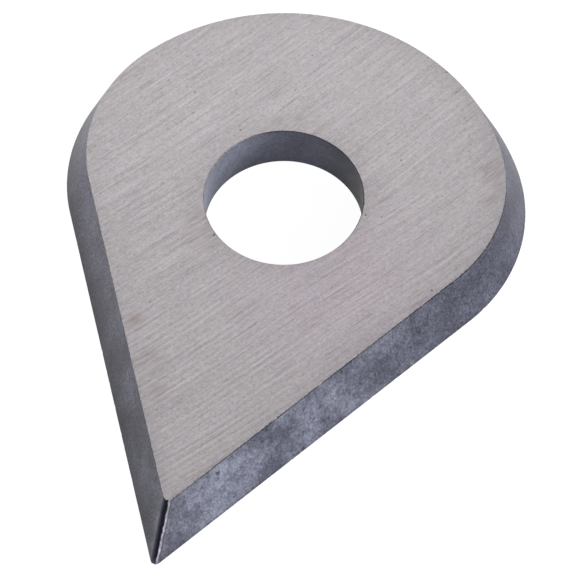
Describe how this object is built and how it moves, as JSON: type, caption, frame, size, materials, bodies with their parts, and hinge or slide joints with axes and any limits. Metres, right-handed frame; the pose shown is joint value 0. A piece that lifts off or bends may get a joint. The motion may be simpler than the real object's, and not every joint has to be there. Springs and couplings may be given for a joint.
{
  "type": "scraper blade",
  "caption": "Pear-shaped carbide blade for a hand scraper: rounded back, two straight cutting edges meeting in a point, relief flank all round, plain screw hole.",
  "frame": {"origin": "on the axis of the screw hole, in the plane of the large ground face that the cutting edge surrounds", "axes": "+Z along the hole, out of the smaller ground face; +Y along the blade towards its rounded back, so the point looks along -Y; +X across the blade"},
  "size_m": [0.025, 0.035, 0.0029],
  "materials": {
    "carbide": "ground satin faces, as-sintered flank"
  },
  "bodies": {
    "root": {"scraper_blade": "carbide"}
  },
  "joints": []
}
